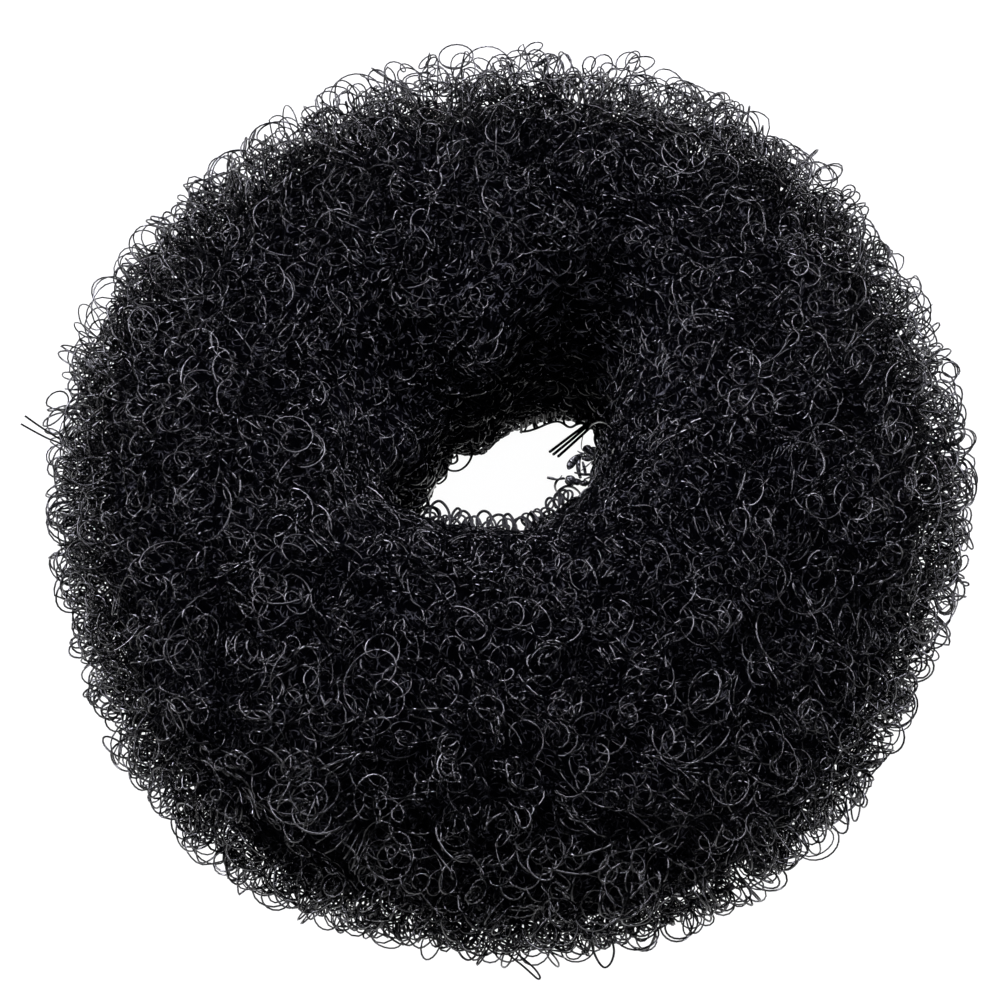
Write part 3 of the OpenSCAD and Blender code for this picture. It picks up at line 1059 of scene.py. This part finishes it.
class RING_OT_pull_loose_strands(bpy.types.Operator):
    """Pull some bristles and single curls out of the mesh"""

    bl_idname = "bun_ring.pull_loose_strands"
    bl_label = "Pull Loose Strands"

    # Points along each strand, and by what factor all are thicker than their rows say
    STEPS = 30
    THICKER = 1.4

    # The loops on the near lip: how many, how far off an even spacing, half their widths, their
    # heights and their lean, in pixels, and the thickness of their strands in millimetres
    LOOPS = 22
    OFF = 3
    HALF_WIDTHS, HEIGHTS = (4, 8), (6, 16)
    LEAN = 4
    THICKNESSES = (0.13, 0.17)

    def execute(self, context):
        stage = context.scene.bun_ring_stage
        sleeve = context.scene.bun_ring_sleeve
        material = nylon("black_nylon_loose", sleeve.nylon_colour, 1.2)
        rng = np.random.default_rng(41)
        for name, strands in (
            ("bristles", BRISTLES),
            ("passage_curls", PASSAGE_CURLS + tuple(self.lip_loops(rng))),
            ("rim_curls", RIM_CURLS),
        ):
            paths = np.array([drawn(stage, rows, self.STEPS) for _, rows in strands])
            widths = np.array([[width * self.THICKER * MM] for width, _ in strands])
            piece = strand_tubes(name, paths, widths, material, rng, sides=4)
            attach(piece, "root")
        return {"FINISHED"}

    def lip_loops(self, rng):
        """Rows for small loops that stand up all along the passage's near lip."""
        across, down, height = np.array(NEAR_LIP).T
        spots = np.linspace(across[0], across[-1], self.LOOPS)
        for x in spots + rng.uniform(-self.OFF, self.OFF, self.LOOPS):
            foot, level = np.interp(x, across, down), np.interp(x, across, height)
            wide, tall = rng.uniform(*self.HALF_WIDTHS), rng.uniform(*self.HEIGHTS)
            lean = rng.uniform(-self.LEAN, self.LEAN)
            yield rng.uniform(*self.THICKNESSES), [
                (x + side * wide + lean * up, foot - tall * up, level) for side, up in LOOP
            ]


class RING_OT_lay_on_table(bpy.types.Operator):
    """Lay out the pale table, the soft light and the camera"""

    bl_idname = "bun_ring.lay_on_table"
    bl_label = "Lay on the Table"

    # Half the table's width, and the width of the camera's sensor in millimetres
    TABLE_REACH = 1.5
    SENSOR = 36

    # The lamps that shine at the ring: where each is, its length and width, and its power in watts
    LAMP_COLOUR = (0.87, 0.86, 1.0)
    LAMPS = (
        ("softbox_above", (0.05, 0.5, 0.8), 0.5, 0.24, 15.5),
        ("softbox_left", (-0.78, 0.15, 0.5), 1.0, 0.14, 33.0),
        ("softbox_right", (0.78, 0.12, 0.5), 1.0, 0.14, 26.0),
        ("softbox_front", (0.05, -0.3, 0.85), 0.4, 0.12, 3.0),
    )

    def execute(self, context):
        stage = context.scene.bun_ring_stage
        self.table(stage)
        self.sky(context, stage)
        self.lamps(context)
        self.camera(context, stage)
        return {"FINISHED"}

    def table(self, stage):
        """A white table that glows, so that hardly any shadow shows on it."""
        shading = Shading("white_table")
        grain = with_inputs(shading.nodes.new("ShaderNodeTexNoise"), Scale=60)
        shading.tint(grain.outputs["Fac"], (0.03, 0.03, 0.03), (0.05, 0.05, 0.05))
        with_inputs(shading.shader, Roughness=0.9, Emission_Color=(1, 1, 1, 1))
        with_inputs(shading.shader, Emission_Strength=stage.table_glow)
        corners = np.array([(-1, -1, 0), (1, -1, 0), (1, 1, 0), (-1, 1, 0)]) * self.TABLE_REACH
        floor = joined_mesh("table", corners, [[0, 1, 2, 3]], shading.material)

    def sky(self, context, stage):
        """White up to just above the horizon, as the table is, and dim above that."""
        world = bpy.data.worlds.new("soft_sky")
        context.scene.world = world
        world.use_nodes = True
        nodes, links = world.node_tree.nodes, world.node_tree.links
        place = nodes.new("ShaderNodeTexCoord")
        parts = nodes.new("ShaderNodeSeparateXYZ")
        links.new(place.outputs["Generated"], parts.inputs["Vector"])
        fall = nodes.new("ShaderNodeMapRange")
        fall.interpolation_type = "SMOOTHSTEP"
        with_inputs(fall, From_Min=0.02, From_Max=0.08, To_Min=1.0, To_Max=stage.sky_light)
        links.new(parts.outputs["Z"], fall.inputs["Value"])
        links.new(fall.outputs["Result"], nodes["Background"].inputs["Strength"])

    def lamps(self, context):
        """Soft boxes that face the ring."""
        for name, place, length, width, power in self.LAMPS:
            lamp = bpy.data.lights.new(name, "AREA")
            lamp.shape = "RECTANGLE"
            lamp.size = length
            lamp.size_y = width
            lamp.energy = power
            lamp.color = self.LAMP_COLOUR
            box = bpy.data.objects.new(name, lamp)
            box.location = place
            box.rotation_euler = (-Vector(place)).to_track_quat("-Z", "Y").to_euler()
            context.scene.collection.objects.link(box)

    def camera(self, context, stage):
        """The photo's view."""
        lens = bpy.data.cameras.new("photo_view")
        lens.sensor_width = self.SENSOR
        lens.lens = self.SENSOR * stage.distance / stage.view_width
        eye = bpy.data.objects.new("photo_view", lens)
        toward_eye, _ = view_axes(stage)
        eye.location = Vector(stage.aim) + Vector(toward_eye) * stage.distance
        eye.rotation_euler = (math.pi / 2 - stage.elevation, 0, 0)
        context.scene.collection.objects.link(eye)
        context.scene.camera = eye
        context.scene.view_settings.view_transform = "Standard"


class RING_PT_steps(bpy.types.Panel):
    """Lists the steps that make the ring"""

    bl_label = "Curled Mesh Bun Ring"
    bl_space_type = "VIEW_3D"
    bl_region_type = "UI"
    bl_category = "Bun Ring"

    def draw(self, context):
        scene = context.scene
        column = self.layout.column()
        for step in STEPS:
            column.operator(step.bl_idname)
        for settings in (scene.bun_ring_sleeve, scene.bun_ring_core, scene.bun_ring_stage):
            box = self.layout.box()
            for name in settings.__annotations__:
                box.prop(settings, name)


STEPS = (
    RING_OT_lay_on_table, RING_OT_roll_core, RING_OT_curl_sleeve, RING_OT_pull_loose_strands,
    RING_OT_melt_seam_end,
)
CLASSES = (SleeveSettings, CoreSettings, StageSettings, *STEPS, RING_PT_steps)


def register():
    for each in CLASSES:
        bpy.utils.register_class(each)
    bpy.types.Scene.bun_ring_sleeve = PointerProperty(type=SleeveSettings)
    bpy.types.Scene.bun_ring_core = PointerProperty(type=CoreSettings)
    bpy.types.Scene.bun_ring_stage = PointerProperty(type=StageSettings)


def unregister():
    del bpy.types.Scene.bun_ring_stage
    del bpy.types.Scene.bun_ring_core
    del bpy.types.Scene.bun_ring_sleeve
    for each in reversed(CLASSES):
        bpy.utils.unregister_class(each)


def main():
    register()
    bpy.ops.bun_ring.lay_on_table()
    bpy.ops.bun_ring.roll_core()
    bpy.ops.bun_ring.curl_sleeve()
    bpy.ops.bun_ring.pull_loose_strands()
    bpy.ops.bun_ring.melt_seam_end()


if __name__ == "__main__":
    main()
